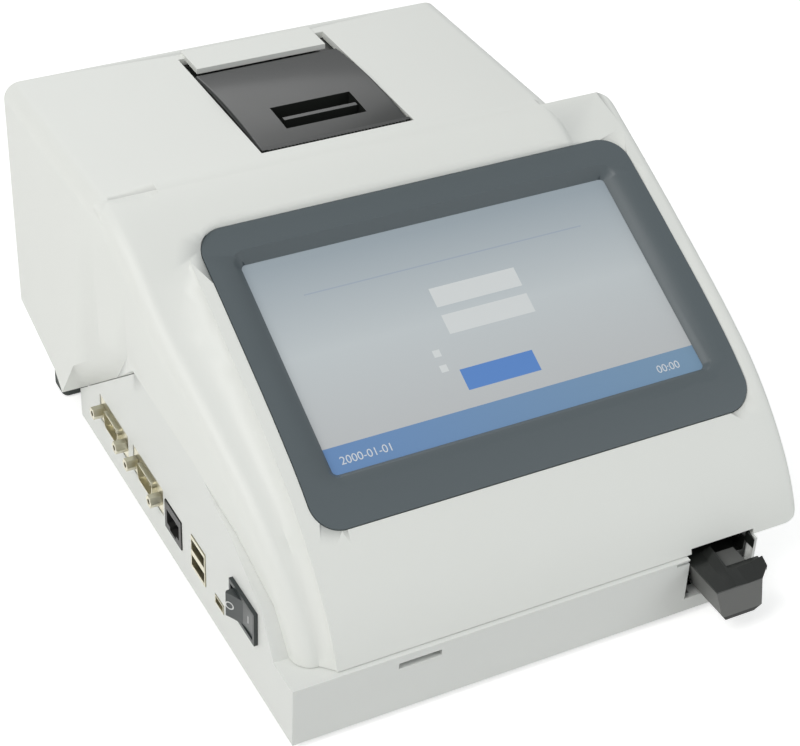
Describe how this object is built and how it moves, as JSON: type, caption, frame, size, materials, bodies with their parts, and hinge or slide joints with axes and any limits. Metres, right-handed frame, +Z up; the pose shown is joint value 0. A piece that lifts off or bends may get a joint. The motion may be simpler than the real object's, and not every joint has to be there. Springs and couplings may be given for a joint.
{
  "type": "immunofluorescence analyzer",
  "caption": "Bench-top fluorescence reader with a sloping touch-screen console, motor-driven card tray, built-in receipt printer and a connector panel with a rocker switch",
  "frame": {"origin": "on the bench, under the middle of the overall bounding box with the tray out", "axes": "+X to the right seen from the front, +Y to the back, +Z up; the front faces -Y"},
  "size_m": [0.224, 0.2784, 0.1391],
  "materials": {
    "shell_white": "fine satin",
    "base_white": "fine satin",
    "bezel_grey": "satin",
    "touch_glass": "gloss",
    "lcd_panel": "smooth",
    "zinc_steel": "zinc plated",
    "screw_steel": "zinc plated",
    "circuit_green": "solder mask",
    "port_metal": "nickel plated",
    "jack_black": "moulded",
    "switch_black": "fine texture",
    "rocker_black": "semi gloss",
    "printer_black": "moulded",
    "lid_black": "gloss",
    "tear_black": "satin",
    "head_aluminium": "anodised",
    "polished_steel": "ground",
    "platen_rubber": "ground",
    "gear_white": "moulded",
    "gear_brass": "machined",
    "motor_steel": "drawn",
    "tray_black": "satin",
    "tray_grey": "fine texture",
    "rack_white": "moulded",
    "motor_black": "satin",
    "optics_black": "matt",
    "lens_glass": "polished",
    "foot_rubber": "moulded"
  },
  "bodies": {
    "housing": {"upper_shell": "shell_white", "base_shell": "base_white", "screen_bezel": "bezel_grey", "display_glass": "touch_glass", "lcd_module": "lcd_panel", "lcd_bracket": "zinc_steel", "display_screws": "screw_steel", "board_screws": "screw_steel", "main_board": "circuit_green", "serial_port_rear": "port_metal", "serial_port_front": "port_metal", "port_jackscrews": "port_metal", "lan_jack": "jack_black", "usb_stack": "port_metal", "mini_usb_port": "port_metal", "dc_jack": "jack_black", "switch_frame": "switch_black", "printer_frame": "printer_black", "tear_bar": "tear_black", "print_head": "head_aluminium", "printer_screws": "screw_steel", "lid_hinge_pin": "polished_steel", "feed_motor": "motor_steel", "tray_rails": "polished_steel", "drive_motor": "motor_black", "motor_bracket": "zinc_steel", "optics_housing": "optics_black", "optics_lens": "lens_glass", "optics_board": "circuit_green", "id_card_reader": "jack_black", "home_sensor": "jack_black", "front_feet": "foot_rubber", "rear_feet": "foot_rubber", "housing_screws": "screw_steel"},
    "rocker": {"switch_rocker": "rocker_black"},
    "lid": {"printer_lid": "lid_black"},
    "platen": {"platen_roller": "platen_rubber", "platen_shaft": "polished_steel", "platen_gear": "gear_white"},
    "feed": {"feed_pinion": "gear_brass"},
    "tray": {"card_tray": "tray_black", "tray_front": "tray_grey", "tray_rack": "rack_white"},
    "pinion": {"drive_pinion": "gear_brass"}
  },
  "joints": [
    {"name": "switch_tilt", "type": "hinge", "parent": "housing", "child": "rocker", "pos_m": [-0.102, -0.08155, 0.0332], "axis": [0, 0, -1], "range_deg": [0, 28]},
    {"name": "lid_hinge", "type": "hinge", "parent": "housing", "child": "lid", "pos_m": [-0.0065, 0.10975, 0.1319], "axis": [-1, 0, 0], "range_deg": [0, 80]},
    {"name": "platen_spin", "type": "hinge", "parent": "lid", "child": "platen", "pos_m": [-0.0065, 0.05885, 0.127], "axis": [1, 0, 0], "continuous": true},
    {"name": "feed_spin", "type": "hinge", "parent": "housing", "child": "feed", "pos_m": [0.02345, 0.05885, 0.11895], "axis": [1, 0, 0], "continuous": true},
    {"name": "tray_slide", "type": "slide", "parent": "housing", "child": "tray", "axis": [0, 1, 0], "range_m": [0, 0.04]},
    {"name": "pinion_spin", "type": "hinge", "parent": "housing", "child": "pinion", "pos_m": [0.053, -0.06575, 0.02], "axis": [0, 0, 1], "range_deg": [0, 330]}
  ],
  "couplings": [
    {"joint": "pinion_spin", "follows": "tray_slide", "rad_per_m": 142.86},
    {"joint": "feed_spin", "follows": "platen_spin", "ratio": -1.6667}
  ]
}
